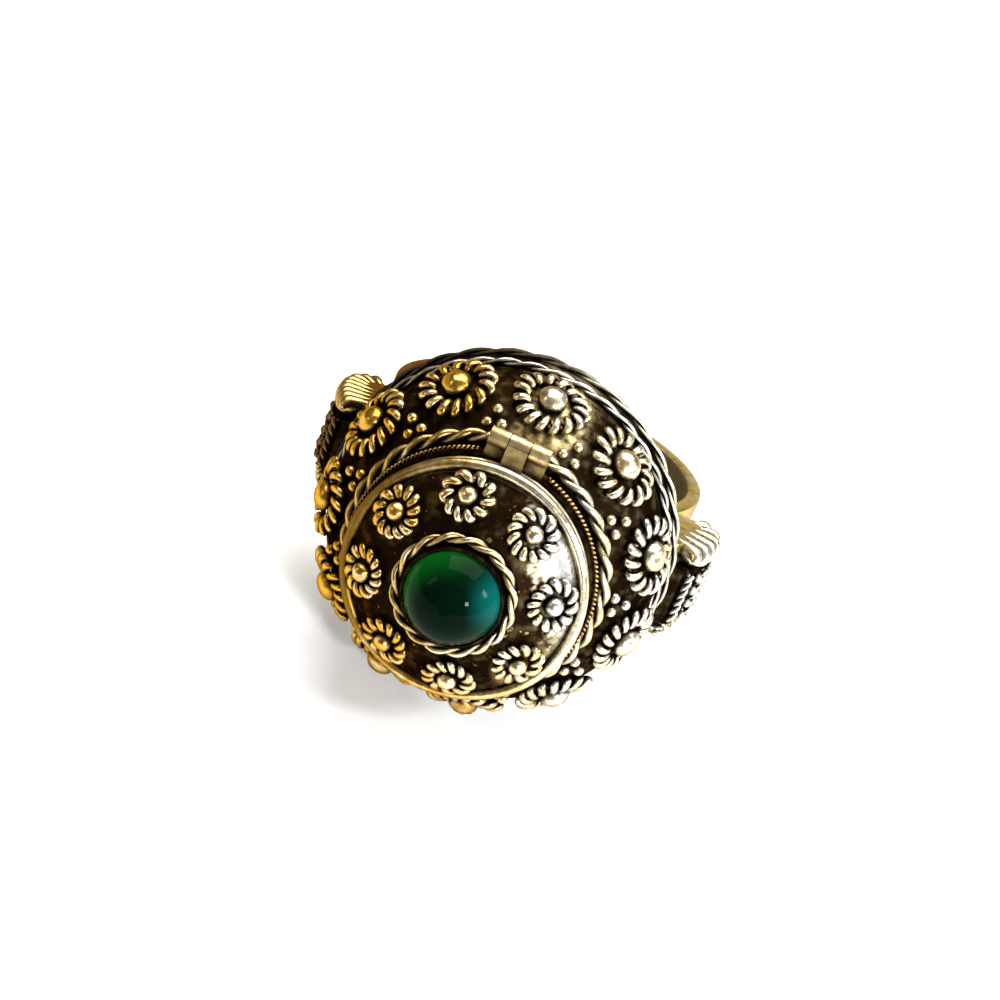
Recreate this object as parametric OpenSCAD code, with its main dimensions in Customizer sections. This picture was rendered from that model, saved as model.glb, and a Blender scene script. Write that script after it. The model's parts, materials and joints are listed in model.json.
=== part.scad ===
// Poison ring: a finger hoop with flared shoulders carries a tall round box of granulated
// gilt metal, and a hinged lid with a round green cabochon closes the box.
// The pieces are modelled with the box axis along Z and the finger hole along Y.
// The whole ring is then laid on its side, where it rests on the box rim and the hoop's foot.

/* [Finger hoop] */
// Diameter of the finger hole
finger_d = 18; // [15:0.5:22]
// Thickness of the band
band_t = 0.9; // [0.7:0.1:1.6]
// Metal left between the finger hole and the foot of the box
bridge_t = 0.7; // [0.5:0.1:1.5]
// Width of the band
band_w = 5.9; // [5:0.1:8]

/* [Shoulders] */
// Half span of the shoulders where they meet the box
shoulder_top = 9.45; // [9:0.05:9.9]
// Half span of the shoulders at their widest
shoulder_reach = 10.6; // [10.4:0.05:12.5]
// Depth of the widest place under the box
shoulder_drop = 4; // [3.5:0.1:5]
// Rounding of the lower corner of the shoulders
shoulder_corner = 1.2; // [1:0.1:1.6]
// Thickness of the ropes along the edges of the shoulders
edge_rope_d = 1.3; // [0.9:0.05:1.4]
// Height of the raised panel between those ropes
panel_rise = 0.8; // [0.4:0.05:1]
// Thickness of the wires laid across the panel
panel_wire_d = 0.5; // [0.3:0.05:0.6]
// Radius of the grains between those wires
panel_grain_r = 0.3; // [0.2:0.02:0.32]

/* [Box] */
// Radius of the upright foot of the box
foot_r = 9.55; // [9:0.05:11]
// Height of the upright foot
foot_h = 1.15; // [0.9:0.05:2]
// Step in from the foot to where the domed flank begins
foot_step = 0.45; // [0.2:0.05:0.6]
// Radius where the flank ends at the collar
flank_top_r = 6.7; // [6.2:0.1:7]
// Height where the flank ends
flank_h = 6.95; // [6:0.1:8]
// Swelling of the flank past a straight cone
flank_bulge = 1; // [0.8:0.05:1.3]
// Outer radius of the upright collar
collar_r = 6.4; // [6:0.05:6.6]
// Height of the top of the collar
collar_h = 9; // [8.8:0.1:11]
// Thickness of the sheet metal of the box
wall_t = 0.8; // [0.5:0.1:1.1]

/* [Ropes of the box] */
// Thickness of the rope round the foot
low_rope_d = 0.4; // [0.3:0.05:0.6]
// Thickness of the rope on the foot's edge
high_rope_d = 0.5; // [0.4:0.05:0.6]
// Thickness of the rope round the collar
collar_rope_d = 0.85; // [0.6:0.05:0.95]
// Thickness of the fine wire under the lid
milled_wire_d = 0.3; // [0.2:0.05:0.4]

/* [Rosettes of the box] */
// Number of rosettes round the flank
rosette_count = 11; // [8:1:11]
// Place of the rosettes on the flank, as an angle of its arc
rosette_rise_angle = 25.7; // [22:0.5:28]
// Outer radius of a rosette's coil
coil_r = 2.1; // [1.7:0.05:2.2]
// Height of the coil
coil_h = 0.72; // [0.4:0.05:0.9]
// Radius of a rosette's large granule
granule_r = 0.88; // [0.7:0.02:0.94]
// Height of that granule
granule_h = 1.0; // [0.9:0.05:1.4]
// Radius of the small grains between the rosettes
grain_r = 0.3; // [0.2:0.02:0.32]

/* [Lid] */
// Radius of the lid's wall
lid_r = 6.15; // [6:0.05:6.4]
// Height of the lid's wall
lid_wall_h = 1.2; // [1:0.05:1.5]
// Thickness of the lid's rounded rim
lid_rim_d = 0.6; // [0.4:0.02:0.7]
// Thickness of the two fine bands under the rim
lid_band_d = 0.32; // [0.2:0.02:0.4]
// Radius of the ball that the lid's top is cut from
lid_ball_r = 8.4; // [8:0.1:10]
// Height of the flat seat over the collar
seat_h = 3.05; // [3:0.05:3.3]
// Thickness of the lid
lid_t = 0.7; // [0.5:0.05:0.9]
// Number of rosettes on the lid
lid_rosette_count = 8; // [6:1:8]
// Distance of the lid's rosettes from the axis
lid_rosette_at = 4.75; // [4.6:0.05:4.8]
// Outer radius of the coil of a lid rosette
lid_coil_r = 1.36; // [1.1:0.02:1.4]
// Height of that coil
lid_coil_h = 0.5; // [0.3:0.05:0.7]
// Radius of the granule of a lid rosette
lid_granule_r = 0.55; // [0.4:0.01:0.6]
// Height of that granule
lid_granule_h = 0.8; // [0.5:0.05:0.9]

/* [Stone] */
// Radius of the cabochon
stone_r = 2.48; // [2:0.02:2.5]
// Height of the upright girdle of the stone
girdle_h = 0.35; // [0.2:0.05:0.6]
// Rise of the stone's dome over its girdle
stone_rise = 2; // [1:0.1:2.3]
// Thickness of the bezel's floor
bezel_floor = 0.3; // [0.2:0.05:0.5]
// Thickness of the bezel's wall
bezel_wall = 0.12; // [0.1:0.01:0.2]
// Thickness of the rope round the bezel
bezel_rope_d = 0.62; // [0.5:0.02:0.72]

/* [Hinge] */
// Distance of the hinge axis from the axis of the box
hinge_at = 7.35; // [7.3:0.05:7.8]
// Radius of the hinge knuckles
knuckle_r = 0.5; // [0.4:0.02:0.55]
// Length of the whole hinge
hinge_len = 3.2; // [2.6:0.1:5]
// Length of the lid's own knuckle
lid_knuckle_len = 1.1; // [0.8:0.1:1.6]
// Radius of the hinge pin
pin_r = 0.22; // [0.15:0.01:0.25]
// Running gap round the pin
pin_gap = 0.03; // [0.02:0.01:0.05]

/* [Hidden] */

// Gap left between two pieces that are soldered or set face to face.
seam = 0.03;
// Gap between the lid and the collar that it closes.
lid_gap = 0.04;
// Side gap of the hinge knuckles.
knuckle_gap = 0.05;
$fn = 96;

// Circle and height of the finger hoop; its bore leaves the bridge under the box.
bore_r = finger_d / 2;
hoop_r = bore_r + band_t;
hoop_z = -(bore_r + bridge_t + seam);
hoop_foot_z = hoop_z - hoop_r;

// Upper arc of a shoulder: from under the box rim out to the widest place.
upper_in = shoulder_reach - shoulder_top;
upper_down = shoulder_drop - seam;
upper_r = (pow(upper_in, 2) + pow(upper_down, 2)) / (2 * upper_in);
upper_x = shoulder_reach - upper_r;
upper_angle = asin(upper_down / upper_r);

// Raised panel of a shoulder, between its two edge ropes.
panel_w = band_w - 2 * (edge_rope_d + seam);
panel_lift = panel_rise + seam + panel_wire_d / 2;

// Rounded lower corner of a shoulder, under its widest place.
corner_x = shoulder_reach - shoulder_corner;
shoulder_foot_z = -shoulder_drop - shoulder_corner;

// Where a rope that follows this corner comes up against the hoop, as an angle round the corner
// and no further than its end.
edge_rope_lift = seam + edge_rope_d / 2;
edge_rope_arm = shoulder_corner + edge_rope_lift;
corner_up = -shoulder_drop - hoop_z;
corner_arm = norm([corner_x, corner_up]);
meeting = (pow(hoop_r + edge_rope_lift, 2) - pow(corner_arm, 2) - pow(edge_rope_arm, 2))
    / (2 * edge_rope_arm * corner_arm);
edge_rope_stop_angle = min(90, acos(max(-1, meeting)) - atan2(corner_up, corner_x));

// Arc of the domed flank of the box.
flank_foot_r = foot_r - foot_step;
chord_in = flank_foot_r - flank_top_r;
chord_up = flank_h - foot_h;
chord_half = norm([chord_in, chord_up]) / 2;
flank_r = (pow(chord_half, 2) + pow(flank_bulge, 2)) / (2 * flank_bulge);
flank_back = flank_r - flank_bulge;
flank_x = (flank_foot_r + flank_top_r) / 2 - flank_back * chord_up / (2 * chord_half);
flank_z = (foot_h + flank_h) / 2 - flank_back * chord_in / (2 * chord_half);

// Ropes of the box, each by the radius and height of its centre line.
low_rope_r = foot_r + seam + low_rope_d / 2;
low_rope_z = low_rope_d / 2;
high_rope_z = foot_h + seam + high_rope_d / 2;
high_rope_lift = flank_r + seam + high_rope_d / 2;
high_rope_r = flank_x + sqrt(pow(high_rope_lift, 2) - pow(high_rope_z - flank_z, 2));
collar_rope_r = collar_r + seam + collar_rope_d / 2;
collar_rope_lift = flank_r + seam + collar_rope_d / 2;
collar_rope_z = flank_z + sqrt(pow(collar_rope_lift, 2) - pow(collar_rope_r - flank_x, 2));
milled_wire_z = collar_h - milled_wire_d;

// Lid: its wall stands on the collar, and its top is a ball cut flat for the bezel. The ball
// meets the wall a small step over the wall's top.
lid_z = collar_h + lid_gap;
seat_z = collar_h + seat_h;
lid_top_z = lid_z + lid_wall_h;
lid_dome_step = 0.09;
lid_ball_z = lid_top_z + lid_dome_step - sqrt(pow(lid_ball_r, 2) - pow(lid_r - lid_rim_d / 2, 2));
lid_rosette_tilt_angle = asin(lid_rosette_at / lid_ball_r);

// Bezel and stone; the bezel's lip stands over the girdle.
bezel_r = stone_r + seam + bezel_wall;
bezel_z = seat_z + seam;
stone_z = bezel_z + bezel_floor + seam;
girdle_z = stone_z + girdle_h;
bezel_lip = 0.12;
bezel_h = girdle_z + bezel_lip - bezel_z;
stone_ball_r = (pow(stone_r, 2) + pow(stone_rise, 2)) / (2 * stone_rise);
stone_ball_z = girdle_z + stone_rise - stone_ball_r;
bezel_rope_r = bezel_r + seam + bezel_rope_d / 2;
bezel_rope_z = bezel_z + bezel_rope_d / 2;

// Hinge, with the thickness of the leaves that carry its knuckles.
hinge_z = lid_z - lid_gap / 2;
leaf_t = 0.55;
knuckle_len = (hinge_len - lid_knuckle_len) / 2 - knuckle_gap;

// Angle of the first rosette, seen along the box axis.
rosette_turn_angle = 22.4;
lid_rosette_turn_angle = 15;

// The ring lies on the low rope and on the lower edge of the hoop.
rest_across = low_rope_r - band_w / 2;
rest_along = low_rope_z - hoop_foot_z;
lean_angle = atan2(rest_across, rest_along) + asin(low_rope_d / 2 / norm([rest_across, rest_along]));
rest_z = low_rope_r * cos(lean_angle) - low_rope_z * sin(lean_angle) + low_rope_d / 2;
front_y = -stone_ball_z * cos(lean_angle) - stone_ball_r;
back_y = band_w / 2 * sin(lean_angle) - hoop_foot_z * cos(lean_angle);
rest_y = -(front_y + back_y) / 2;

module lay() {
    translate([0, rest_y, rest_z]) rotate([90 - lean_angle, 0, 0]) children();
}

// Closed skin over rings of points; the last ring joins the first when it is looped.
module skin(rings, looped) {
    n = len(rings);
    m = len(rings[0]);
    steps = looped ? n : n - 1;
    sides = [for (i = [0:steps - 1], j = [0:m - 1])
        let (a = i * m, b = (i + 1) % n * m, k = (j + 1) % m)
        each [[a + j, b + j, b + k], [a + j, b + k, a + k]]];
    ends = looped ? [] : [[for (j = [0:m - 1]) j], [for (j = [m - 1:-1:0]) (n - 1) * m + j]];
    polyhedron([for (ring = rings) each ring], concat(sides, ends), convexity = 6);
}

// Section of a two-strand rope: a flat six-sided oval, turned by the lay of the strands.
strand_share = 0.64;
rope_sides = 6;
function rope_section(d, turn) =
    [for (k = [0:rope_sides - 1])
        let (a = 360 * k / rope_sides, u = d / 2 * cos(a), v = d / 2 * strand_share * sin(a))
        [u * cos(turn) - v * sin(turn), u * sin(turn) + v * cos(turn)]];

// Rope laid in a circle round the box axis, with an even number of strand crossings.
module ring_rope(r, z, d, crossings, steps) {
    n = crossings * steps;
    skin([for (i = [0:n - 1])
        let (turn = -90 + 360 * i / n)
        [for (p = rope_section(d, 180 * i / steps))
            [(r + p[0]) * cos(turn), (r + p[0]) * sin(turn), z + p[1]]]], true);
}

// Point over a shoulder's outer line: from the box at 0, past the widest place, round the
// lower corner to the hoop at 1.
upper_share = 0.6;
function shoulder_point(along, off) =
    along < upper_share
    ? let (a = upper_angle * (1 - along / upper_share))
        [upper_x + (upper_r + off) * cos(a), -shoulder_drop + (upper_r + off) * sin(a)]
    : let (a = -90 * (along - upper_share) / (1 - upper_share))
        [corner_x + (shoulder_corner + off) * cos(a),
            -shoulder_drop + (shoulder_corner + off) * sin(a)];

// Rope along one edge of a shoulder; side is left or right, edge is upper or lower at rest. It
// starts beside the rope round the box's foot, just clear of it, and ends against the hoop. Its
// wire is wound close, so it swells and narrows from turn to turn.
edge_rope_steps = 24;
edge_rope_sides = 8;
edge_rope_waist_share = 0.84;
module edge_rope(side, edge) {
    lift = edge_rope_lift;
    y = edge * (band_w / 2 - edge_rope_d / 2);
    beside = upper_x + sqrt(pow(upper_r + lift, 2) - pow(shoulder_drop, 2))
        - sqrt(pow(low_rope_r, 2) - pow(y, 2));
    clear = (edge_rope_d + low_rope_d) / 2 + seam;
    depth = sqrt(max(0, pow(clear, 2) - pow(beside, 2))) - low_rope_z;
    start = upper_share * (1 - asin((shoulder_drop - depth) / (upper_r + lift)) / upper_angle);
    stop = upper_share + (1 - upper_share) * edge_rope_stop_angle / 90;
    color("goldenrod") lay() mirror([side < 0 ? 1 : 0, 0, 0])
        skin([for (i = [0:edge_rope_steps])
            let (along = start + (stop - start) * i / edge_rope_steps,
                r = edge_rope_d / 2 * (i % 2 == 0 ? edge_rope_waist_share : 1))
            [for (k = [0:edge_rope_sides - 1])
                let (a = 360 * k / edge_rope_sides, q = shoulder_point(along, lift + r * cos(a)))
                [q[0], y + r * sin(a), q[1]]]], false);
}

// Finger hoop with its two flared shoulders, one bent and soldered band. A rise gives the
// raised panel of a shoulder.
module shoulder_side(rise) {
    intersection() {
        translate([upper_x, -shoulder_drop]) circle(upper_r + rise);
        translate([0, -shoulder_drop]) square([2 * foot_r, shoulder_drop - seam]);
    }
    translate([corner_x, -shoulder_drop]) circle(shoulder_corner + rise);
    translate([0, shoulder_foot_z - rise]) square([corner_x, shoulder_corner + rise]);
}

module shoulders(rise) {
    shoulder_side(rise);
    mirror([1, 0]) shoulder_side(rise);
}

module hoop_outline() {
    intersection() {
        translate([0, hoop_z]) circle(hoop_r);
        translate([-hoop_r, hoop_foot_z]) square([2 * hoop_r, -hoop_foot_z - seam]);
    }
}

module shank() {
    color("goldenrod") lay() difference() {
        union() {
            rotate([90, 0, 0]) linear_extrude(height = band_w, center = true) {
                hoop_outline();
                shoulders(0);
            }
            rotate([90, 0, 0]) linear_extrude(height = panel_w, center = true)
                shoulders(panel_rise);
        }
        translate([0, 0, hoop_z]) rotate([90, 0, 0])
            cylinder(h = 2 * band_w, r = bore_r, center = true);
    }
}

// Wires laid across the raised panel of a shoulder, with a row of grains between each two.
panel_wires = 4;
panel_grains = 4;
panel_end_share = 0.86;
module panel() {
    top = asin((shoulder_drop - seam - panel_wire_d / 2) / (upper_r + panel_lift));
    start = upper_share * (1 - top / upper_angle);
    step = (panel_end_share - start) / (panel_wires - 1);
    across = panel_w / panel_grains;
    for (i = [0:panel_wires - 1]) {
        wire = shoulder_point(start + step * i, panel_lift);
        translate([wire[0], 0, wire[1]]) rotate([90, 0, 0])
            cylinder(h = panel_w - panel_wire_d / 2, r = panel_wire_d / 2, center = true, $fn = 24);
    }
    for (i = [0:panel_wires - 2], j = [0:panel_grains - 1]) {
        grain = shoulder_point(start + step * (i + 0.5), panel_rise + seam + panel_grain_r);
        translate([grain[0], across * (j + 0.5) - panel_w / 2, grain[1]])
            sphere(panel_grain_r, $fn = 32);
    }
}

module panel_right() {
    color("khaki") lay() panel();
}

module panel_left() {
    color("khaki") lay() mirror([1, 0, 0]) panel();
}

// Half section of the box: foot, domed flank and collar, hollow inside.
module box_outside() {
    square([foot_r, foot_h]);
    intersection() {
        translate([flank_x, flank_z]) circle(flank_r);
        square([2 * foot_r, flank_h]);
    }
    square([flank_x, flank_h]);
    square([collar_r, collar_h]);
}

module box_inside() {
    translate([0, wall_t]) square([collar_r - wall_t, collar_h]);
    intersection() {
        translate([flank_x, flank_z]) circle(flank_r - wall_t);
        translate([0, wall_t]) square([2 * foot_r, flank_h - 2 * wall_t]);
    }
}

// Knuckle of the hinge with its leaf, which reaches down to the collar or up to the lid.
module knuckle(middle, length, leaf_from, leaf_z) {
    translate([middle, hinge_at, hinge_z]) rotate([0, 90, 0])
        cylinder(h = length, r = knuckle_r, center = true, $fn = 48);
    translate([middle - length / 2, leaf_from, leaf_z])
        cube([length, hinge_at - leaf_from, leaf_t]);
}

module pin_bore() {
    translate([0, hinge_at, hinge_z]) rotate([0, 90, 0])
        cylinder(h = 2 * hinge_len, r = pin_r + pin_gap, center = true, $fn = 48);
}

module box() {
    color("darkgoldenrod") lay() difference() {
        union() {
            rotate_extrude() difference() {
                box_outside();
                box_inside();
            }
            for (side = [-1, 1])
                knuckle(side * (hinge_len - knuckle_len) / 2, knuckle_len,
                    collar_r - wall_t / 2, collar_h - leaf_t);
        }
        pin_bore();
    }
}

module low_rope() {
    color("gold") lay() ring_rope(low_rope_r, low_rope_z, low_rope_d, 40, 3);
}

module high_rope() {
    color("gold") lay() ring_rope(high_rope_r, high_rope_z, high_rope_d, 40, 3);
}

module collar_rope() {
    color("gold") lay() ring_rope(collar_rope_r, collar_rope_z, collar_rope_d, 32, 3);
}

// Fine wire just under the lid, open where the hinge leaves stand.
milled_wire_angle = 326;
module milled_wire() {
    color("peru") lay() rotate([0, 0, 90 + (360 - milled_wire_angle) / 2])
        rotate_extrude(angle = milled_wire_angle)
            translate([collar_r + seam + milled_wire_d / 2, milled_wire_z])
                circle(milled_wire_d / 2, $fn = 24);
}

module hinge_pin() {
    color("silver") lay() translate([0, hinge_at, hinge_z]) rotate([0, 90, 0])
        cylinder(h = hinge_len + 2 * pin_gap, r = pin_r, center = true, $fn = 48);
}

// Point over the flank: turn round the axis, rise along the arc, lift off the surface.
function flank_point(turn, rise, lift) =
    let (r = flank_x + (flank_r + lift) * cos(rise))
    [r * cos(turn), r * sin(turn), flank_z + (flank_r + lift) * sin(rise)];

// Point over the lid's ball: turn round the axis, tilt from it, lift off the surface.
function lid_point(turn, tilt, lift) =
    let (r = (lid_ball_r + lift) * sin(tilt))
    [r * cos(turn), r * sin(turn), lid_ball_z + (lid_ball_r + lift) * cos(tilt)];

// Rows of a rosette from its top to its edge: distance from the middle, lift, and whether
// the row follows the loops of the coil.
function rosette_rows(ball_r, ball_h, ring_r, ring_h) = [
    [0.5 * ball_r, 0.92 * ball_h, 0],
    [0.87 * ball_r, 0.7 * ball_h, 0],
    [ball_r, 0.35 * ball_h, 0],
    [ball_r + 0.12 * (ring_r - ball_r), 0.3 * ring_h, 0],
    [ball_r + 0.45 * (ring_r - ball_r), ring_h, 1],
    [ball_r + 0.85 * (ring_r - ball_r), 0.7 * ring_h, 1],
    [ring_r, 0, 0]
];

// Granule seated in a ring of coiled wire. Its rows and its foot follow the curved metal under it.
coil_dip_share = 0.22;
coil_foot_share = 0.55;
module rosette_skin(rows, steps, ball_h, on_flank, turn) {
    middle = on_flank ? rosette_rise_angle : lid_rosette_tilt_angle;
    reach = on_flank ? flank_x + flank_r * cos(middle) : lid_rosette_at;
    bend = on_flank ? flank_r : lid_ball_r;
    edge = rows[len(rows) - 1][0];
    levels = concat(rows, [[coil_foot_share * edge, 0, 0]]);
    function over(r, a, lift) =
        let (t = turn + r * cos(a) / reach * 180 / PI, s = middle + r * sin(a) / bend * 180 / PI)
        on_flank ? flank_point(t, s, lift) : lid_point(t, s, lift);
    points = concat(
        [over(0, 0, seam + ball_h)],
        [for (row = levels, j = [0:steps - 1])
            over(row[0], 360 * j / steps, 2 * seam + row[1] * (1 - coil_dip_share * row[2] * (j % 2)))],
        [over(0, 0, 2 * seam)]);
    last = len(points) - 1;
    foot = last - steps;
    tops = [for (j = [0:steps - 1]) [0, 1 + j, 1 + (j + 1) % steps]];
    sides = [for (i = [0:len(levels) - 2], j = [0:steps - 1])
        let (a = 1 + i * steps, b = a + steps, k = (j + 1) % steps)
        each [[a + j, b + j, b + k], [a + j, b + k, a + k]]];
    bottoms = [for (j = [0:steps - 1]) [last, foot + (j + 1) % steps, foot + j]];
    faces = concat(tops, sides, bottoms);
    polyhedron(points, on_flank ? [for (f = faces) [f[2], f[1], f[0]]] : faces, convexity = 6);
}

rosette_steps = 20;
module rosette(i) {
    color("gold") lay() rosette_skin(rosette_rows(granule_r, granule_h, coil_r, coil_h),
        rosette_steps, granule_h, true, rosette_turn_angle + 360 * (i - 1) / rosette_count);
}

lid_rosette_steps = 16;
module lid_rosette(i) {
    color("gold") lay()
        rosette_skin(rosette_rows(lid_granule_r, lid_granule_h, lid_coil_r, lid_coil_h),
            lid_rosette_steps, lid_granule_h, false,
            lid_rosette_turn_angle + 360 * (i - 1) / lid_rosette_count);
}

// Three small grains in each corner between two rosettes and the collar rope.
grain_pitch = 0.78;
grain_rise_angle = 50.5;
module grains() {
    lift = seam + grain_r;
    color("gold") lay() for (i = [0:rosette_count - 1]) {
        turn = rosette_turn_angle + 360 * (i + 0.5) / rosette_count;
        high = flank_point(turn, grain_rise_angle, lift);
        across = grain_pitch / 2 / norm([high[0], high[1]]) * 180 / PI;
        down = grain_pitch / flank_r * 180 / PI;
        for (side = [-1, 1])
            translate(flank_point(turn + side * across, grain_rise_angle, lift)) sphere(grain_r, $fn = 32);
        translate(flank_point(turn, grain_rise_angle - down, lift)) sphere(grain_r, $fn = 32);
    }
}

// Lid: upright wall with two fine bands and a rounded rim, domed top with a flat seat.
band_levels = [0.28, 0.62];
module lid_section() {
    difference() {
        intersection() {
            translate([0, lid_ball_z]) circle(lid_ball_r);
            translate([0, lid_z]) square([lid_r - lid_rim_d / 2, seat_z - lid_z]);
        }
        intersection() {
            translate([0, lid_ball_z]) circle(lid_ball_r - lid_t);
            square([lid_r - lid_t, seat_z - lid_t]);
        }
    }
    translate([lid_r - lid_t, lid_z]) square([lid_t, lid_wall_h]);
    translate([lid_r, lid_top_z]) circle(lid_rim_d / 2, $fn = 32);
    for (level = band_levels)
        translate([lid_r, lid_z + level * lid_wall_h]) circle(lid_band_d / 2, $fn = 24);
}

module lid() {
    color("gold") lay() difference() {
        union() {
            rotate_extrude() lid_section();
            knuckle(0, lid_knuckle_len, lid_r - lid_t / 2, lid_z);
        }
        pin_bore();
    }
}

module bezel() {
    color("goldenrod") lay() translate([0, 0, bezel_z]) difference() {
        cylinder(h = bezel_h, r = bezel_r);
        translate([0, 0, bezel_floor]) cylinder(h = bezel_h, r = stone_r + seam);
    }
}

module bezel_rope() {
    color("gold") lay() ring_rope(bezel_rope_r, bezel_rope_z, bezel_rope_d, 12, 5);
}

module stone() {
    color("darkgreen") lay() {
        translate([0, 0, stone_z]) cylinder(h = girdle_h, r = stone_r);
        intersection() {
            translate([0, 0, stone_ball_z]) sphere(stone_ball_r);
            translate([0, 0, girdle_z]) cylinder(h = stone_rise + 1, r = stone_r);
        }
    }
}

shank();
box();
low_rope();
high_rope();
collar_rope();
milled_wire();
grains();
hinge_pin();
edge_rope(1, 1);  // edge_rope_1
edge_rope(1, -1);  // edge_rope_2
edge_rope(-1, 1);  // edge_rope_3
edge_rope(-1, -1);  // edge_rope_4
panel_left();
panel_right();
for (i = [1:rosette_count])
    rosette(i);
lid();
bezel();
bezel_rope();
stone();
for (i = [1:lid_rosette_count])
    lid_rosette(i);
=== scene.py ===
"""Poison ring of gilt filigree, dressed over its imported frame: a finger hoop with winged
shoulders, a tall round box covered in wire rosettes, and a hinged lid with a green cabochon."""

import json
import math
import random

import bmesh
import bpy
from mathutils import Matrix, Vector, noise


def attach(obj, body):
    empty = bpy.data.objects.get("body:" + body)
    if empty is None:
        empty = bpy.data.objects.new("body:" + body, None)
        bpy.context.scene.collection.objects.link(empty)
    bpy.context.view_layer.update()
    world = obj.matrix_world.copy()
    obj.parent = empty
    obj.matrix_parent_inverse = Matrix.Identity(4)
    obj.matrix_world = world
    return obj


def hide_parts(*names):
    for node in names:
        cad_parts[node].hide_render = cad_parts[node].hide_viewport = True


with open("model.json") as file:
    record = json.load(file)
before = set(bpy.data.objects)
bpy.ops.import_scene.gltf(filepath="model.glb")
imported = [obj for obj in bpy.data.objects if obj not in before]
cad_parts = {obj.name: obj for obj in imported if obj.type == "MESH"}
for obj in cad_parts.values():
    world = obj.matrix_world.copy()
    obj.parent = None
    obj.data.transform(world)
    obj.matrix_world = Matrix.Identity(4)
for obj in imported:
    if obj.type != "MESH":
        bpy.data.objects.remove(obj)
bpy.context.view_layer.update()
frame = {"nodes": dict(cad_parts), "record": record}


# The table top: a sheet of matt white board that the ring lies on. The finger hole says how the
# ring lies, and one camera is held over it and tipped as the ring is seen.
MM = 0.001
HOOP_U = -9.73
finger_hole = frame["record"]["mounts"][0]
hoop_axis = Vector(finger_hole["axis"])
dome_axis = Vector((1, 0, 0)).cross(hoop_axis)
LAID = (
    Matrix.Translation(Vector(finger_hole["pos_m"]) - MM * HOOP_U * dome_axis)
    @ Matrix(((1, 0, 0), hoop_axis, dome_axis)).transposed().to_4x4()
    @ Matrix.Scale(MM, 4)
)

SEEN_RIGHT = Vector((0.91230, 0.36110, -0.19317))
SEEN_FROM = Vector((0.06529, 0.33740, 0.93909))
EYE_MM = Vector((-0.0838, 1.184, 100.0))
SENSOR_MM, LENS_MM = 36.0, 64.46

camera_data = bpy.data.cameras.new("camera")
camera_data.sensor_width = SENSOR_MM
camera_data.lens = LENS_MM
camera_data.clip_start = 0.001
camera = bpy.data.objects.new("camera", camera_data)
seen = Matrix((SEEN_RIGHT, SEEN_FROM.cross(SEEN_RIGHT), SEEN_FROM)).transposed().to_4x4()
eye, turn, _ = (LAID @ seen @ Matrix.Translation(EYE_MM)).decompose()
camera.matrix_world = Matrix.Translation(eye) @ turn.to_matrix().to_4x4()
bpy.context.scene.collection.objects.link(camera)
bpy.context.scene.camera = camera


class Paint:
    """A socket in a finish, which plain arithmetic works on."""

    def __init__(self, tree, socket=None):
        self.tree = tree
        self.socket = socket

    def node(self, kind, settings=(), sockets=(), out=0):
        """A new node with these settings and sockets, as the Paint of its output."""
        made = self.tree.nodes.new("ShaderNode" + kind)
        for key, value in dict(settings).items():
            setattr(made, key, value)
        for key, value in dict(sockets).items():
            if isinstance(value, Paint):
                self.tree.links.new(value.socket, made.inputs[key])
            else:
                made.inputs[key].default_value = value
        return Paint(self.tree, made.outputs[out] if len(made.outputs) else None)

    def maths(self, operation, *values):
        return self.node("Math", {"operation": operation}, enumerate(values))

    def __add__(self, other):
        return self.maths("ADD", self, other)

    def __sub__(self, other):
        return self.maths("SUBTRACT", self, other)

    def __rsub__(self, other):
        return self.maths("SUBTRACT", other, self)

    def __mul__(self, other):
        return self.maths("MULTIPLY", self, other)

    __radd__ = __add__
    __rmul__ = __mul__

    def most(self, other):
        return self.maths("MAXIMUM", self, other)

    def size(self):
        return self.maths("ABSOLUTE", self)

    def from_axis(self, other):
        """Distance from the middle of these two directions."""
        return self.maths("SQRT", self * self + other * other)

    def between(self, low, high):
        """0 below low and 1 above high, with a soft step."""
        return self.node(
            "MapRange",
            {"interpolation_type": "SMOOTHSTEP"},
            {"Value": self, "From Min": low, "From Max": high},
        )

    def mix(self, low, high):
        """The colour low where this is 0, and high where it is 1."""
        ends = [c if isinstance(c, Paint) else (*c, 1) for c in (low, high)]
        return self.node("Mix", {"data_type": "RGBA"}, {0: self, 6: ends[0], 7: ends[1]}, 2)

    def parts(self):
        """Its three directions, each as a socket."""
        split = self.node("SeparateXYZ", (), {0: self})
        return [Paint(self.tree, socket) for socket in split.socket.node.outputs]


def finish(name):
    """A new material, with its empty tree and its place over the surface."""
    material = bpy.data.materials.new(name)
    material.use_nodes = True
    material.node_tree.nodes.clear()
    start = Paint(material.node_tree)
    return material, start.node("TexCoord", out="Object")


def coat(material, **sockets):
    """Ends a material with one shader that has these sockets."""
    names = {key.replace("_", " "): value for key, value in sockets.items()}
    start = Paint(material.node_tree)
    start.node("OutputMaterial", (), {0: start.node("BsdfPrincipled", (), names)})


FLOOR_HALF = 1.5
board, place = finish("board")
fibres = place.node("TexNoise", (), {"Vector": place, "Scale": 900.0, "Detail": 6.0})
coat(
    board,
    Base_Color=fibres.mix((0.90, 0.90, 0.895), (0.95, 0.95, 0.945)),
    Roughness=0.85,
    Normal=place.node("Bump", (), {"Strength": 0.1, "Distance": 0.0001, "Height": fibres}),
)
bm = bmesh.new()
bmesh.ops.create_grid(bm, x_segments=4, y_segments=4, size=FLOOR_HALF)
floor_mesh = bpy.data.meshes.new("floor")
bm.to_mesh(floor_mesh)
bm.free()
floor_mesh.materials.append(board)
floor = bpy.data.objects.new("floor", floor_mesh)
bpy.context.scene.collection.objects.link(floor)


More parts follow.
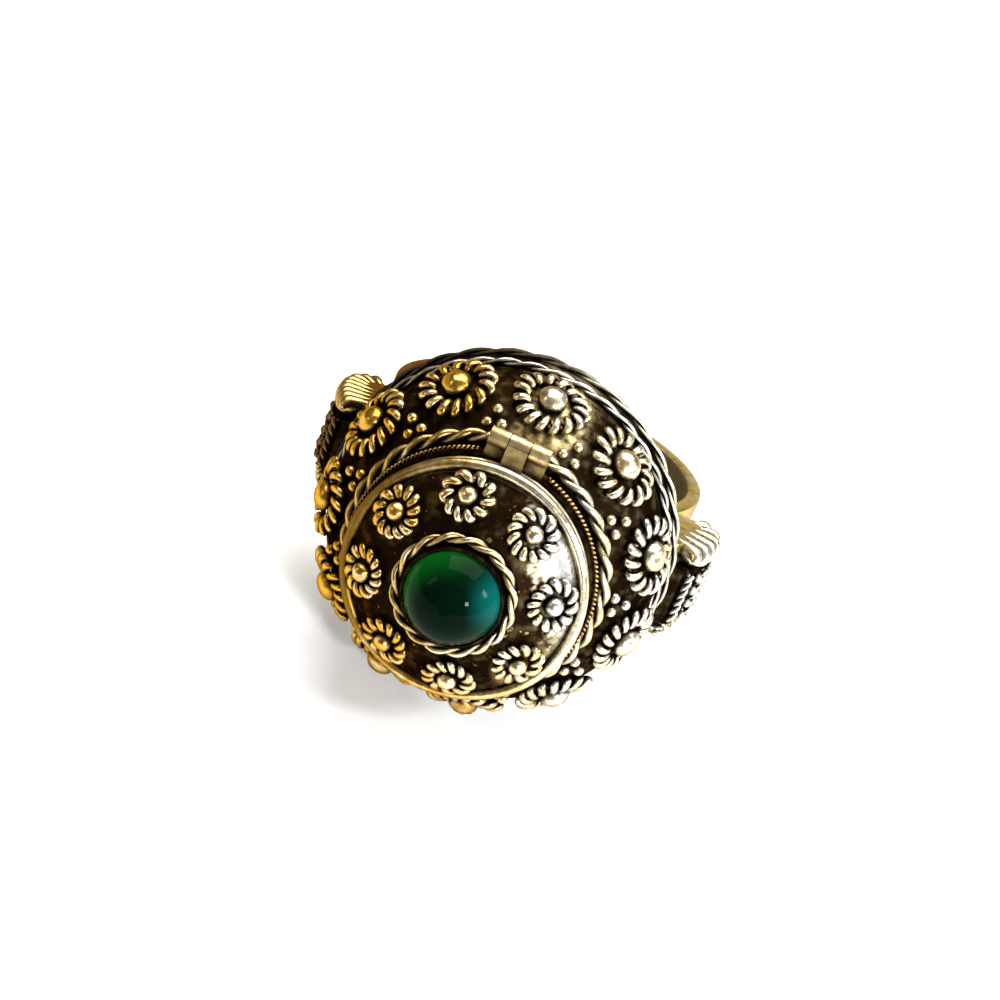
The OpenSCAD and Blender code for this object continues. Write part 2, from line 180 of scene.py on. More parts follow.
# The light: small soft boxes at the front right, the left and the right, a broad one above, and
# a dim grey room, so the wires carry small bright lines and the gaps between them stay dark.
LIT_POINT = (0, 0, 0.01)
ROOM_COLOUR, ROOM_STRENGTH = (0.78, 0.80, 0.84, 1), 0.25


def soft_box(name, at, size, power, colour):
    """A lamp of this size in metres, turned to the ring."""
    data = bpy.data.lights.new(name, "AREA")
    data.shape = "RECTANGLE"
    data.size, data.size_y = size
    data.energy = power
    data.color = colour
    lamp = bpy.data.objects.new(name, data)
    aim = Vector(LIT_POINT) - Vector(at)
    turn = aim.to_track_quat("-Z", "Y").to_matrix().to_4x4()
    lamp.matrix_world = Matrix.Translation(at) @ turn
    bpy.context.scene.collection.objects.link(lamp)


soft_box("key_light", (0.185, -0.205, 0.135), (0.04, 0.04), 1.0, (0.98, 0.98, 0.98))
soft_box("left_light", (-0.25, -0.12, 0.16), (0.05, 0.12), 0.12, (1.0, 0.88, 0.72))
soft_box("right_light", (0.26, 0.01, 0.145), (0.05, 0.07), 0.75, (0.90, 0.95, 1.0))
soft_box("top_light", (0.0, 0.16, 0.36), (0.45, 0.30), 3.8, (1.0, 0.99, 0.97))
world = bpy.data.worlds.new("room")
world.use_nodes = True
background = world.node_tree.nodes["Background"]
background.inputs["Color"].default_value = ROOM_COLOUR
background.inputs["Strength"].default_value = ROOM_STRENGTH
bpy.context.scene.world = world
bpy.context.scene.view_settings.view_transform = "Standard"


# The finger hoop and its two winged shoulders: one band of gilt brass, bent, filed and soldered
# shut, with a raised block on each shoulder whose field is left black under the wires.
BORE_R, HOOP_R = 9.0, 9.9
BAND_W, SEAM = 5.9, 0.03
TOP_HALF, REACH, DROP, CORNER_R = 9.45, 10.6, 4.0, 1.2
UPPER_DOWN = DROP - SEAM
UPPER_R = ((REACH - TOP_HALF) ** 2 + UPPER_DOWN**2) / (2 * (REACH - TOP_HALF))
UPPER_W = REACH - UPPER_R
EDGE_ROPE_R = 0.65
PANEL_W = BAND_W - 2 * (2 * EDGE_ROPE_R + SEAM)
PANEL_RISE, PANEL_ROOT = 0.8, 9.0
BAND_WEAR, PANEL_WEAR = 0.16, 0.08
UPPER_STEPS, CORNER_STEPS, HOOP_STEPS, BORE_STEPS = 14, 10, 40, 96
BLACK_W, BLACK_V, BLACK_U, BORE_BLACK_R = (9.2, 9.5), (1.65, 1.8), (-5.35, -5.2), (9.02, 9.15)
# The silver is worn gilt and also a painted sheen. The black is soot and oxide and also painted
# shade.
SILVER_WEAR_AND_SHEEN, SOOT_AND_SHADE, SHEEN = (0.66, 0.64, 0.58), (0.010, 0.005, 0.002), (0.30, 0.24, 0.17, 1)
PATCH_SIZE, PATCH_SHARE, STAIN_SHARE = 0.55, 0.7, 0.3
# The slopes towards the right are painted light: paler gilt and more silver sheen on that side.
GOLD_STEP, PAINTED_LIGHT_RIGHT, PALER_BACK = (0.36, 0.66), 0.022, 0.008
RUB_SIZE, RUB_STEP, PAINTED_SHEEN_RIGHT = 0.45, (0.66, 0.92), 0.012
GAP_DEPTH, GAP_STAIN, SOOT_WEAR, SOOT_MATT = 0.9 * MM, 0.2, 0.08, 0.30
DENT_DEPTH, DENTS, SCRATCHES = 0.05 * MM, 0.8, 0.2


def ring_place(place):
    """The place over a surface in the ring's own directions: across, along the hole and up."""
    middle, lie, _ = LAID.decompose()
    return place.node(
        "Mapping",
        {"vector_type": "TEXTURE"},
        {
            "Vector": place,
            "Location": middle,
            "Rotation": lie.to_euler(),
            "Scale": (MM, MM, MM),
        },
    )


def worn_gilt(
    name, bright, deep, soot_and_shade=None, bare=None, silver=0.3, rough=0.27, dent=0.5, gap=(0.42, 0.80)
):
    """Gilt with a soft wandering tone, silver where the gilt is worn, and black oxide in the gaps;
    painted light makes the tone paler and more silvery to the right, and painted shade deepens the
    gaps.
    """
    material, place = finish(name)
    ring_mm = ring_place(place)
    w, v, u = ring_mm.parts()

    def cloud(scale, detail=3.0):
        return place.node("TexNoise", (), {"Vector": ring_mm, "Scale": scale, "Detail": detail})

    stain = cloud(2.6)
    # Silver where the gilt is worn, with a painted sheen that grows towards the right.
    wear_and_sheen = PATCH_SHARE * cloud(RUB_SIZE) + STAIN_SHARE * stain + PAINTED_SHEEN_RIGHT * w
    wear_and_sheen = wear_and_sheen.between(*(step - 0.3 * silver for step in RUB_STEP))
    # Bare places add silver here; on the lid this silver is a painted highlight.
    if bare:
        wear_and_sheen = wear_and_sheen.most(bare(w, v, u, stain))
    # Ambient occlusion finds the gaps between wires: black oxide lies there, deepened past it by
    # painted shade.
    open_sky = place.node("AmbientOcclusion", {"samples": 4}, {"Distance": GAP_DEPTH}, out="AO")
    black = 1 - (open_sky + GAP_STAIN * (stain - 0.5)).between(*gap)
    # Black fields and tarnish come in here, and on some finishes painted shade by side.
    if soot_and_shade:
        black = black.most(soot_and_shade(w, v, u, stain))
    black = black * (1 - SOOT_WEAR * cloud(1.3).between(0.45, 0.75))
    # The gilt's tone, painted paler towards the right as painted light from that side.
    gold = PATCH_SHARE * cloud(PATCH_SIZE) + STAIN_SHARE * stain + PAINTED_LIGHT_RIGHT * w + PALER_BACK * v
    gold = gold.between(*GOLD_STEP).mix(deep, bright)
    coat(
        material,
        Base_Color=black.mix(wear_and_sheen.mix(gold, SILVER_WEAR_AND_SHEEN), SOOT_AND_SHADE),
        Metallic=1.0,
        Specular_Tint=SHEEN,
        Roughness=rough + SOOT_MATT * black + 0.2 * (stain - 0.4),
        Normal=place.node(
            "Bump",
            (),
            {
                "Strength": dent,
                "Distance": DENT_DEPTH,
                "Height": DENTS * cloud(2.2, 2.0) + SCRATCHES * cloud(14.0),
            },
        ),
    )
    return material


def piece(name, bm, material, body, node):
    """A finished mesh in its place in the ring, standing for one node of the frame."""
    bmesh.ops.transform(bm, matrix=LAID, verts=bm.verts)
    bmesh.ops.recalc_face_normals(bm, faces=bm.faces)
    mesh = bpy.data.meshes.new(name)
    bm.to_mesh(mesh)
    bm.free()
    for face in mesh.polygons:
        face.use_smooth = True
    mesh.materials.append(material)
    made = bpy.data.objects.new(name, mesh)
    bpy.context.scene.collection.objects.link(made)
    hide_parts(node)
    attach(made, body)


def turned(bm, vert, centre, angle, steps):
    """Carries one point round a centre as a chain of edges, and gives the chain's far end."""
    made = bmesh.ops.spin(
        bm, geom=[vert], cent=(centre[0], 0, centre[1]), axis=(0, 1, 0), angle=angle, steps=steps
    )
    return next(v for v in made["geom_last"] if isinstance(v, bmesh.types.BMVert))


def straight(bm, vert, step):
    """Carries one point along a straight edge, and gives the edge's far end."""
    made = bmesh.ops.extrude_vert_indiv(bm, verts=[vert])["verts"]
    bmesh.ops.translate(bm, verts=made, vec=(step[0], 0, step[1]))
    return made[0]


def thickened(bm, width, wear):
    """Gives a flat outline its width, and wears its edges round."""
    bmesh.ops.triangle_fill(bm, edges=bm.edges[:], use_beauty=True)
    bmesh.ops.translate(bm, verts=bm.verts, vec=(0, -width / 2, 0))
    walls = bmesh.ops.extrude_face_region(bm, geom=bm.faces[:] + bm.edges[:] + bm.verts[:])
    tops = [v for v in walls["geom"] if isinstance(v, bmesh.types.BMVert)]
    bmesh.ops.translate(bm, verts=tops, vec=(0, width, 0))
    bmesh.ops.recalc_face_normals(bm, faces=bm.faces)
    rims = [e for e in bm.edges if e.is_manifold and e.calc_face_angle() > 1.0]
    bmesh.ops.bevel(
        bm, geom=rims, offset=wear, segments=3, profile=0.5, affect="EDGES", material=-1
    )


def joined(bm, part, place=Matrix()):
    """Sets a part into a larger mesh."""
    bmesh.ops.transform(part, matrix=place, verts=part.verts)
    carried = bpy.data.meshes.new("carried")
    part.to_mesh(carried)
    part.free()
    bm.from_mesh(carried)
    bpy.data.meshes.remove(carried)


bm = bmesh.new()
vert = bm.verts.new((0, 0, -SEAM))
vert = straight(bm, vert, (TOP_HALF, 0))
vert = turned(bm, vert, (UPPER_W, -DROP), math.asin(UPPER_DOWN / UPPER_R), UPPER_STEPS)
vert = turned(bm, vert, (REACH - CORNER_R, -DROP), math.pi / 2, CORNER_STEPS)
join_angle = math.asin((-DROP - CORNER_R - HOOP_U) / HOOP_R)
vert = straight(bm, vert, (HOOP_R * math.cos(join_angle) - (REACH - CORNER_R), 0))
vert = turned(bm, vert, (0, HOOP_U), math.pi / 2 + join_angle, HOOP_STEPS)
bmesh.ops.mirror(bm, geom=bm.verts[:] + bm.edges[:], axis="X", merge_dist=0.001)
bmesh.ops.remove_doubles(bm, verts=bm.verts, dist=0.001)
bore = Matrix.Translation((0, 0, HOOP_U)) @ Matrix.Rotation(math.pi / 2, 4, "X")
bmesh.ops.create_circle(bm, segments=BORE_STEPS, radius=BORE_R, matrix=bore)
thickened(bm, BAND_W, BAND_WEAR)
for side in (1, -1):
    block = bmesh.new()
    raised_r = UPPER_R + PANEL_RISE
    top_w = UPPER_W + math.sqrt(raised_r**2 - UPPER_DOWN**2)
    root = block.verts.new((PANEL_ROOT, 0, -SEAM))
    vert = straight(block, root, (top_w - PANEL_ROOT, 0))
    vert = turned(block, vert, (UPPER_W, -DROP), math.asin(UPPER_DOWN / raised_r), UPPER_STEPS)
    vert = turned(block, vert, (REACH - CORNER_R, -DROP), math.pi / 2, CORNER_STEPS)
    vert = straight(block, vert, (PANEL_ROOT - (REACH - CORNER_R), 0))
    block.edges.new((vert, root))
    thickened(block, PANEL_W, PANEL_WEAR)
    bmesh.ops.scale(block, vec=(side, 1, 1), verts=block.verts)
    bmesh.ops.recalc_face_normals(block, faces=block.faces)
    joined(bm, block)


def band_soot(w, v, u, stain):
    """Black on the raised fields, and a duller black in the finger hole."""
    raised = w.size().between(*BLACK_W) * (1 - v.size().between(*BLACK_V)) * u.between(*BLACK_U)
    hole = 1 - w.from_axis(u - HOOP_U).between(*BORE_BLACK_R)
    return raised.most(0.7 * hole)


band_gilt = worn_gilt("band_gilt", (0.66, 0.52, 0.24), (0.26, 0.16, 0.05), band_soot)
piece("finger_hoop", bm, band_gilt, "ring", "shank")


# The ropes along the edges of the shoulders: gilt wire wound close about a core and soldered over
# the edge, so that each turn lies on the face and the side of the shoulder like a rib of a shell.
EDGE_ROPE_END, UPPER_SHARE = 0.94, 0.6
FOOT_ROPE_R, FOOT_ROPE_D, FOOT_ROPE_U = 9.78, 0.4, 0.2
COIL_THICK, CORE_THICK, COIL_STRETCH = 0.40, 0.55, 1.4
RIGHT_TURNS, LEFT_TURNS, FAR_ROPE_R = 6, 9, 0.44
SHOULDER_LENGTH = 7.5
SIDE_REACH, CORNER_REACH, CORNER_BLEND, SIDE_PROUD, TOP_SHARE = 4.6, 2.3, 0.15, 1.2, 0.7


def wound(count, wire_r, off, pitch, turns, steps, sides):
    """Wires wound about the Z axis, one turn to each pitch, from 0 upwards."""
    bm = bmesh.new()
    slope = math.atan2(2 * math.pi * off, pitch)
    for strand in range(count):
        start = (
            Matrix.Rotation(2 * math.pi * strand / count, 4, "Z")
            @ Matrix.Translation((off, 0, 0))
            @ Matrix.Rotation(-slope, 4, "X")
        )
        ring = bmesh.ops.create_circle(bm, segments=sides, radius=wire_r, matrix=start)["verts"]
        bmesh.ops.spin(
            bm,
            geom=ring + list(dict.fromkeys(e for v in ring for e in v.link_edges)),
            cent=(0, 0, 0),
            axis=(0, 0, 1),
            dvec=(0, 0, pitch / steps),
            angle=2 * math.pi * turns,
            steps=round(turns * steps),
        )
    return bm


def shoulder_point(along, off):
    """Point over a shoulder's outer line, from the box at 0 to the hoop at 1."""
    if along < UPPER_SHARE:
        angle = math.asin(UPPER_DOWN / UPPER_R) * (1 - along / UPPER_SHARE)
        return (
            UPPER_W + (UPPER_R + off) * math.cos(angle),
            -DROP + (UPPER_R + off) * math.sin(angle),
        )
    angle = -math.pi / 2 * (along - UPPER_SHARE) / (1 - UPPER_SHARE)
    return (
        REACH - CORNER_R + (CORNER_R + off) * math.cos(angle),
        -DROP + (CORNER_R + off) * math.sin(angle),
    )


def shoulder_start(off, depth):
    """How far along the shoulder's line a point lies that is so far out and so deep."""
    angle = math.asin((DROP - depth) / (UPPER_R + off))
    return UPPER_SHARE * (1 - angle / math.asin(UPPER_DOWN / UPPER_R))


def capped(bm):
    """Closes the ends of wound wires."""
    bmesh.ops.holes_fill(bm, edges=[e for e in bm.edges if e.is_boundary])


shell_gilt = worn_gilt("shell_gilt", (0.78, 0.68, 0.45), (0.44, 0.29, 0.10), silver=0.45)
lift = SEAM + EDGE_ROPE_R
edge_v = BAND_W / 2 - EDGE_ROPE_R
rope_w = UPPER_W + math.sqrt((UPPER_R + lift) ** 2 - DROP**2)
beside = rope_w - math.sqrt(FOOT_ROPE_R**2 - edge_v**2)
clear = EDGE_ROPE_R + FOOT_ROPE_D / 2 + SEAM
edge_start = shoulder_start(lift, math.sqrt(max(0, clear**2 - beside**2)) - FOOT_ROPE_U)
for number, (side, edge) in enumerate([(1, 1), (1, -1), (-1, 1), (-1, -1)], 1):
    length = SHOULDER_LENGTH * (EDGE_ROPE_END - edge_start)
    rope_r = EDGE_ROPE_R if edge > 0 else FAR_ROPE_R
    wire_r = COIL_THICK * rope_r
    turns = RIGHT_TURNS if side > 0 else LEFT_TURNS
    pitch = length / turns / COIL_STRETCH
    bm = wound(1, wire_r, rope_r - wire_r, pitch, turns, steps=18, sides=8)
    bmesh.ops.scale(bm, vec=(1, 1, COIL_STRETCH), verts=bm.verts)
    capped(bm)
    core = bmesh.ops.create_cone(
        bm,
        segments=14,
        radius1=CORE_THICK * rope_r,
        radius2=CORE_THICK * rope_r,
        depth=length,
        cap_ends=True,
        matrix=Matrix.Translation((0, 0, length / 2)),
    )["verts"]
    edges = dict.fromkeys(e for v in core for e in v.link_edges)
    walls = [e for e in edges if abs(e.verts[0].co.z - e.verts[1].co.z) > 1]
    bmesh.ops.subdivide_edges(bm, edges=walls, cuts=24)
    for v in bm.verts:
        along = edge_start + v.co.z / SHOULDER_LENGTH
        past = min(1, max(0, (along - UPPER_SHARE) / CORNER_BLEND + 0.5))
        inward = SIDE_REACH + (CORNER_REACH - SIDE_REACH) * past if v.co.x < 0 else 1
        outward = SIDE_PROUD if v.co.y > 0 else TOP_SHARE
        w, u = shoulder_point(along, SEAM + rope_r + v.co.x * inward)
        v.co = (side * w, edge * (edge_v + v.co.y * outward), u)
    piece(f"shoulder_rope_{number}", bm, shell_gilt, "ring", f"edge_rope_{number}")


# The wires across the black field of each shoulder: four thin twisted ropes soldered side by
# side, with a row of silver grains between each two.
PANEL_WIRE_R, PANEL_STRAND_R, PANEL_STRAND_OFF, PANEL_WIRE_TURNS = 0.25, 0.13, 0.12, 3
PANEL_GRAIN_R, PANEL_WIRES, PANEL_GRAINS, PANEL_END = 0.3, 4, 4, 0.86
silver_wire = worn_gilt(
    "silver_wire", (0.60, 0.57, 0.49), (0.16, 0.10, 0.04), silver=0.3, rough=0.34, gap=(0.50, 0.98)
)
panel_lift = PANEL_RISE + SEAM + PANEL_WIRE_R
grain_lift = PANEL_RISE + SEAM + PANEL_GRAIN_R
panel_start = shoulder_start(panel_lift, SEAM + PANEL_WIRE_R)
panel_step = (PANEL_END - panel_start) / (PANEL_WIRES - 1)
handmade = random.Random(11)
for side, name in ((1, "panel_right"), (-1, "panel_left")):
    bm = bmesh.new()
    for row in range(PANEL_WIRES):
        w, u = shoulder_point(panel_start + panel_step * row, panel_lift)
        length = PANEL_W - PANEL_WIRE_R
        pitch = length / PANEL_WIRE_TURNS
        wire = wound(
            2, PANEL_STRAND_R, PANEL_STRAND_OFF, pitch, PANEL_WIRE_TURNS, steps=16, sides=8
        )
        capped(wire)
        across = Matrix.Translation((w, -length / 2, u)) @ Matrix.Rotation(-math.pi / 2, 4, "X")
        joined(bm, wire, across)
    for row in range(PANEL_WIRES - 1):
        w, u = shoulder_point(panel_start + panel_step * (row + 0.5), grain_lift)
        for column in range(PANEL_GRAINS):
            v = PANEL_W / PANEL_GRAINS * (column + 0.5) - PANEL_W / 2
            grain_r = PANEL_GRAIN_R * handmade.uniform(0.86, 1.0)
            at = Matrix.Translation((w, v, u))
            bmesh.ops.create_uvsphere(bm, u_segments=16, v_segments=10, radius=grain_r, matrix=at)
    bmesh.ops.scale(bm, vec=(side, 1, 1), verts=bm.verts)
    piece(name + "_wire", bm, silver_wire, "ring", name)


# The round box: turned and raised sheet metal with an upright foot, a swelling flank and a
# collar, blackened all over so that the rosettes stand out, with bare gilt round the hinge.
BRIGHT, DEEP = (0.76, 0.60, 0.29), (0.44, 0.24, 0.04)
BOTTOM_U, HINGE_U, HINGE_V = (0.1, 0.3), (8.45, 8.6), (6.2, 6.5)
BARE_W, BARE_OFF, BARE_V = 0.9, (0.6, 2.2), (6.3, 7.0)


def box_soot(w, v, u, stain):
    """Black above the box's bottom, but for the hinge and the bare gilt beside it."""
    hinge = u.between(*HINGE_U) * v.between(*HINGE_V)
    beside = (1 - (w - BARE_W).size().between(*BARE_OFF)) * v.between(*BARE_V)
    return u.between(*BOTTOM_U) * (1 - 0.45 * hinge) * (1 - beside * stain.between(0.25, 0.75))


def dressed(material, *nodes):
    """Puts a material on nodes of the frame whose shape is right as it is."""
    for node in nodes:
        frame["nodes"][node].data.materials.clear()
        frame["nodes"][node].data.materials.append(material)


dressed(worn_gilt("box_gilt", BRIGHT, DEEP, box_soot), "box")


# The twisted ropes of the box: two round wires laid together, bent to rings, and soldered round
# the foot, on the foot's edge and round the collar.
STRAND_LAP, CLOSE_GAP, STRAND_GAP = 0.004, 0.004, (0.55, 0.98)


def bent_round(bm, radius, height, squash=1.0):
    """Bends a straight rope along Z into a ring that lies flat, and closes it."""
    for v in bm.verts:
        turn = v.co.z / radius
        reach = radius + v.co.x
        v.co = (reach * math.cos(turn), reach * math.sin(turn), height + v.co.y * squash)
    bmesh.ops.remove_doubles(bm, verts=bm.verts, dist=CLOSE_GAP)


def rope_ring(name, gilt, radius, height, rope_d, turns, node, body="ring", steps=16, sides=8):
    """A closed ring of two-strand rope, standing for one node."""
    pitch = 2 * math.pi * radius / turns
    bm = wound(2, rope_d / 4 + STRAND_LAP, rope_d / 4 - STRAND_LAP, pitch, turns, steps, sides)
    bent_round(bm, radius, height)
    piece(name, bm, gilt, body, node)


def painted_shade_left(w, v, u, stain):
    """Painted shade: all but black at the left and thinning to the right."""
    return 0.9 * (1 - (w + 3 * (stain - 0.5)).between(-1.0, 7.0))


foot_gilt = worn_gilt(
    "foot_gilt", (0.72, 0.67, 0.50), (0.36, 0.28, 0.15), painted_shade_left, silver=0.4, gap=STRAND_GAP
)
edge_silver = worn_gilt(
    "edge_silver", (0.66, 0.60, 0.50), (0.34, 0.27, 0.18), silver=0.9, gap=STRAND_GAP
)
rope_gilt = worn_gilt(
    "rope_gilt", (0.80, 0.65, 0.35), (0.42, 0.26, 0.07), silver=0.45, gap=STRAND_GAP
)
rope_ring(
    "foot_rope", foot_gilt, radius=9.72, height=0.26, rope_d=0.52, turns=15, node="low_rope"
)
rope_ring(
    "edge_rope", edge_silver, radius=9.44, height=1.43, rope_d=0.50, turns=20, node="high_rope"
)
rope_ring(
    "collar_twist",
    rope_gilt,
    radius=6.855,
    height=7.388,
    rope_d=0.85,
    turns=16,
    node="collar_rope",
    sides=10,
)


# The milled wire just under the lid: a hair-fine gilt wire wound close and soldered to the collar,
# open where the hinge stands.
MILLED_R, MILLED_U, MILLED_SWEEP, MILLED_TURNS = 6.58, 8.70, math.radians(326), 150
MILLED_HAIR_R, MILLED_COIL_R = 0.07, 0.08
milled_gilt = worn_gilt("milled_gilt", (0.40, 0.25, 0.09), (0.16, 0.08, 0.03), rough=0.35)
pitch = MILLED_R * MILLED_SWEEP / MILLED_TURNS
bm = wound(1, MILLED_HAIR_R, MILLED_COIL_R, pitch, MILLED_TURNS, steps=8, sides=6)
capped(bm)
for v in bm.verts:
    turn = math.pi / 2 + (2 * math.pi - MILLED_SWEEP) / 2 + v.co.z / MILLED_R
    reach = MILLED_R + v.co.x
    v.co = (reach * math.cos(turn), reach * math.sin(turn), MILLED_U + v.co.y)
piece("milled_ring", bm, milled_gilt, "ring", "milled_wire")


# The rosettes of the flank: a coil of gilt wire bent to a ring round one big granule, which was
# melted from scrap and soldered down with it. No two are quite alike.
ROSETTES, ROSETTE_TURN, ROSETTE_RISE = 11, math.radians(22.4), math.radians(25.7)
FLANK_R, FLANK_W, FLANK_U = 5.4236, 3.8122, 2.3582
SWAY, SWAY_SIZE, CRUSH = 0.07, 0.9, 0.25
LUMPS, LUMP_SIZE, DIMPLES, DIMPLE_SIZE = 0.07, 1.6, 0.05, 4.0
BALL_TALL, BALL_UP, SOLDER_RISE, SOLDER_GAP = 0.62, 0.38, 0.03, 0.04
PETAL_BRIGHT, PETAL_DEEP, PETAL_GAP = (0.80, 0.65, 0.36), (0.52, 0.28, 0.04), (0.48, 0.98)
grain_gilt = worn_gilt(
    "grain_gilt",
    PETAL_BRIGHT,
    PETAL_DEEP,
    silver=0.62,
    rough=0.25,
    dent=0.8,
    gap=PETAL_GAP,
)


def flank_point(turn, rise, lift):
    """Point over the swelling flank, this far round the box, up the swell and off the metal."""
    reach = FLANK_W + (FLANK_R + lift) * math.cos(rise)
    return (
        reach * math.cos(turn),
        reach * math.sin(turn),
        FLANK_U + (FLANK_R + lift) * math.sin(rise),
    )


def drift(point):
    """A smooth lean in three directions, the same for a point each time."""
    return Vector([noise.noise(point + Vector((0, 0, 31.7 * way))) for way in range(3)])


def rosette(coil_r, half, coil_h, granule_r, granule_h, loops, wire_r):
    """A coil ring round a granule, lying flat on z = 0, as uneven as hand work is."""
    middle = coil_r - half
    pitch = 2 * math.pi * middle / loops
    bm = wound(1, wire_r, half - wire_r, pitch, loops, steps=14, sides=7)
    bent_round(bm, middle, coil_h / 2 + SOLDER_RISE, coil_h / (2 * half))
    seed = Vector((handmade.uniform(0, 90), handmade.uniform(0, 90), handmade.uniform(0, 90)))
    for v in bm.verts:
        sway = drift(v.co * SWAY_SIZE / coil_r + seed)
        v.co.x += SWAY * coil_r * sway.x
        v.co.y += SWAY * coil_r * sway.y
        v.co.z *= 1 - CRUSH * abs(sway.z)
    ball = bmesh.ops.create_uvsphere(bm, u_segments=24, v_segments=14, radius=1.0)["verts"]
    for v in ball:
        lumps = LUMPS * noise.noise(v.co * LUMP_SIZE + seed)
        v.co *= 1 + lumps + DIMPLES * noise.noise(v.co * DIMPLE_SIZE + seed)
    size = handmade.uniform(0.92, 1.0)
    flat, tall = granule_r * size, granule_h * BALL_TALL * size
    bmesh.ops.scale(bm, vec=(flat, flat, tall), verts=ball)
    bmesh.ops.translate(bm, vec=(0, 0, granule_h * BALL_UP + SOLDER_RISE), verts=ball)
    for v in bm.verts:
        v.co.z = max(v.co.z, SOLDER_GAP)
    spun = Matrix.Rotation(handmade.uniform(0, 6.28), 3, "Z")
    bmesh.ops.rotate(bm, cent=(0, 0, 0), matrix=spun, verts=bm.verts)
    return bm


rosette_reach = FLANK_W + FLANK_R * math.cos(ROSETTE_RISE)
for number in range(1, ROSETTES + 1):
    bm = rosette(
        coil_r=2.14,
        half=0.54,
        coil_h=0.72,
        granule_r=0.82,
        granule_h=1.0,
        loops=handmade.choice((14, 15, 16)),
        wire_r=0.205,
    )
    turn = ROSETTE_TURN + 2 * math.pi * (number - 1) / ROSETTES
    for v in bm.verts:
        around, rise = turn + v.co.x / rosette_reach, ROSETTE_RISE + v.co.y / FLANK_R
        v.co = flank_point(around, rise, v.co.z)
    piece(f"flank_rosette_{number}", bm, grain_gilt, "ring", f"rosette_{number}")

dressed(grain_gilt, "grains", "hinge_pin")


# The lid: a raised disc with an upright wall, two fine bands and a rim of bare gilt, hung on the
# hinge at the back of the collar. Its field is black but for two bare places. A painted highlight
# lies on the bare strip and on the rim at the right, and painted shade on the rim at the left.
DOME_U, DOME_R, WALL_U, WALL_R = (10.2, 10.35), (5.75, 5.9), (9.90, 10.05), (6.2, 6.28)
PATCH_W, PATCH_V, PATCH_R, FIELD_WEAR, RIM_BLACK_W = 4.9, -3.0, (0.8, 2.0), (0.2, 0.34), (-6.0, 1.0)
SHINE_DOME, SHINE_RIM, SHINE_DOME_R, SHINE_RIM_R = (3.8, 5.0), (1.0, 5.0), (5.7, 5.9), (6.5, 6.6)


def lid_soot_and_shade(w, v, u, stain):
    """Black on the dome's field, a duller black on the wall, and painted shade on the rim at the
    left.
    """
    out = w.from_axis(v)
    dome = u.between(*DOME_U) * (1 - out.between(*DOME_R))
    gold_patch = 1 - (w - PATCH_W).from_axis(v - PATCH_V).between(*PATCH_R)
    bare = gold_patch.most(lid_bare_and_highlight(w, v, u, stain))
    field = dome * (1 - bare) * stain.between(*FIELD_WEAR)
    wall = (1 - u.between(*WALL_U)) * (1 - 0.5 * out.between(*WALL_R))
    # Painted shade: the rim darkens towards the left.
    rim = 0.65 * (1 - (w + 3 * (stain - 0.5)).between(*RIM_BLACK_W))
    return field.most(0.8 * wall).most((1 - dome) * rim)


def lid_bare_and_highlight(w, v, u, stain):
    """Bare gilt at the right under the outer half of the rosettes there, painted with a silvery
    highlight, and a fainter painted highlight on the rim there.
    """
    across = 0.87 * w + 0.50 * v + 2.4 * (stain - 0.5)
    out = w.from_axis(v)
    past_dome = out.between(*SHINE_DOME_R)
    on_rim = past_dome * (1 - out.between(*SHINE_RIM_R))
    return across.between(*SHINE_DOME) * (1 - past_dome) + 0.5 * across.between(*SHINE_RIM) * on_rim


lid_gilt = worn_gilt("lid_gilt", BRIGHT, DEEP, lid_soot_and_shade, lid_bare_and_highlight, silver=0.3, rough=0.24)
dressed(lid_gilt, "lid", "bezel")


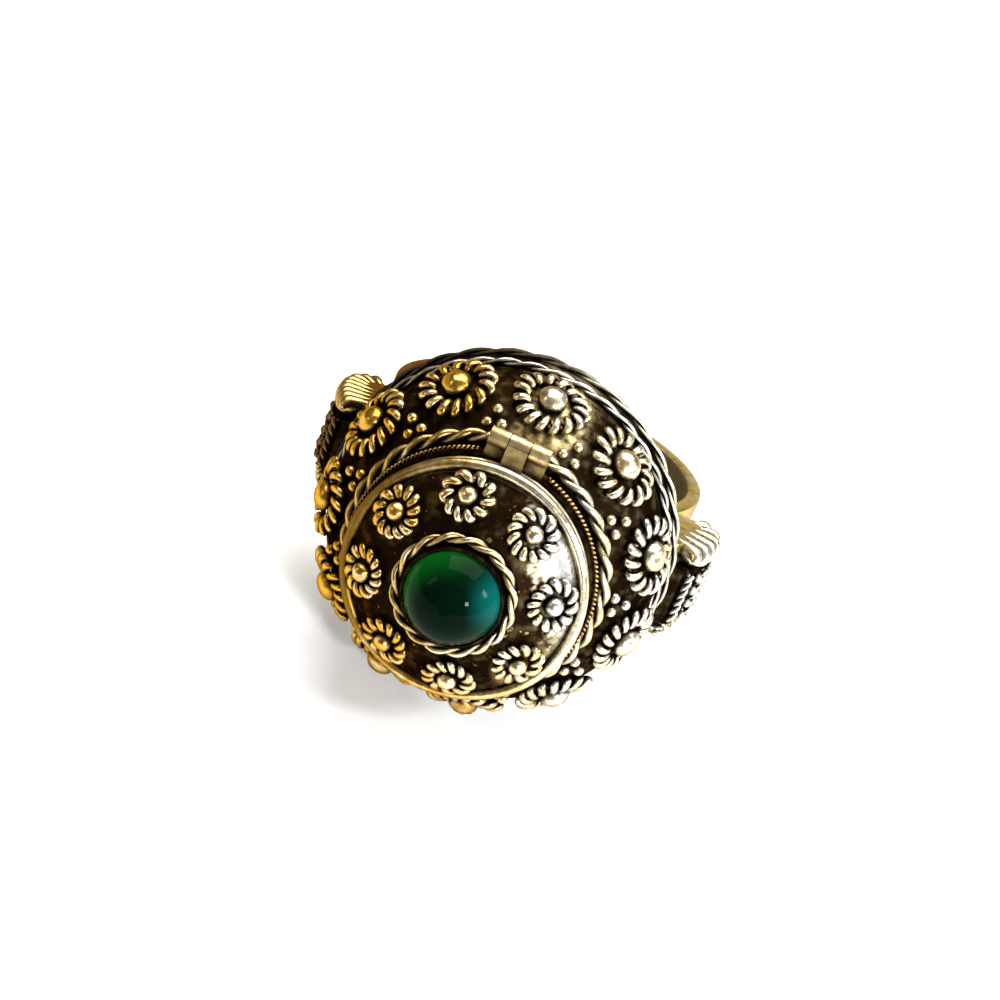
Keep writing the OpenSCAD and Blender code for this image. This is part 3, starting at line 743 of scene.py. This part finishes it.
# The rosettes of the lid: coils of gilt wire round melted granules, like those of the flank but
# smaller, soldered in a ring on the dome between the bezel's rope and the rim.
flower_gilt = worn_gilt(
    "flower_gilt",
    PETAL_BRIGHT,
    PETAL_DEEP,
    bare=lid_bare_and_highlight,
    silver=0.55,
    rough=0.25,
    dent=0.8,
    gap=PETAL_GAP,
)
LID_BALL_R, LID_WALL_TOP, LID_TOP_R, DOME_STEP = 8.4, 10.24, 5.85, 0.09
LID_ROSETTES, LID_ROSETTE_TURN, LID_ROSETTE_AT = 8, math.radians(15), 4.75
lid_ball_u = LID_WALL_TOP + DOME_STEP - math.sqrt(LID_BALL_R**2 - LID_TOP_R**2)
tilt_at = math.asin(LID_ROSETTE_AT / LID_BALL_R)
for number in range(1, LID_ROSETTES + 1):
    bm = rosette(
        coil_r=1.42,
        half=0.40,
        coil_h=0.52,
        granule_r=0.5,
        granule_h=0.8,
        loops=handmade.choice((10, 11, 12)),
        wire_r=0.195,
    )
    turn = LID_ROSETTE_TURN + 2 * math.pi * (number - 1) / LID_ROSETTES
    for v in bm.verts:
        tilt = tilt_at + v.co.y / LID_BALL_R
        around = turn + v.co.x / LID_ROSETTE_AT
        out = (LID_BALL_R + v.co.z) * math.sin(tilt)
        v.co = (
            out * math.cos(around),
            out * math.sin(around),
            lid_ball_u + (LID_BALL_R + v.co.z) * math.cos(tilt),
        )
    piece(f"lid_flower_{number}", bm, flower_gilt, "lid", f"lid_rosette_{number}")


# The bezel's rope and the stone: one round green glass cabochon, polished, in a thin closed cup
# with a twisted gilt rope soldered round it. The glass is dark within. Its colour carries painted
# light: a glow along its edge at the left, where the light that enters it comes out, and teal at
# its right edge.
STONE_R, DARK_CORE = 2.48, 0.45
# The glow and teal colours are painted light; the dark one is the glass's own colour.
STONE_DARK, STONE_PAINTED_GLOW = (0.0004, 0.0050, 0.0020), (0.001, 0.060, 0.005)
STONE_PAINTED_TEAL = (0.001, 0.056, 0.050)
rope_ring(
    "bezel_twist",
    rope_gilt,
    radius=2.97,
    height=12.39,
    rope_d=0.62,
    turns=8,
    node="bezel_rope",
    body="lid",
    steps=24,
    sides=10,
)
green_glass, place = finish("green_glass")
w, v, _ = ring_place(place).parts()
cloudy = place.node("TexNoise", (), {"Vector": place, "Scale": 700.0, "Detail": 2.0})
edge = w.from_axis(v).between(DARK_CORE * STONE_R, STONE_R)
# Painted light: the glow along the left edge.
painted_glow = (-0.40 * w + 0.155 * v + 0.3 * (cloudy - 0.5)).between(0.05, 1.0)
right_of, below = 0.91 * w + 0.36 * v, 0.40 * w - 0.87 * v
# Painted light: the teal at the right edge.
painted_teal = right_of.between(0.9, 2.2) * (1 - below.size().between(0.3, 1.8))
green = (edge * (0.1 + 0.9 * painted_glow)).mix(STONE_DARK, STONE_PAINTED_GLOW)
coat(green_glass, Base_Color=painted_teal.mix(green, STONE_PAINTED_TEAL), Roughness=0.04, IOR=1.085)
dressed(green_glass, "stone")
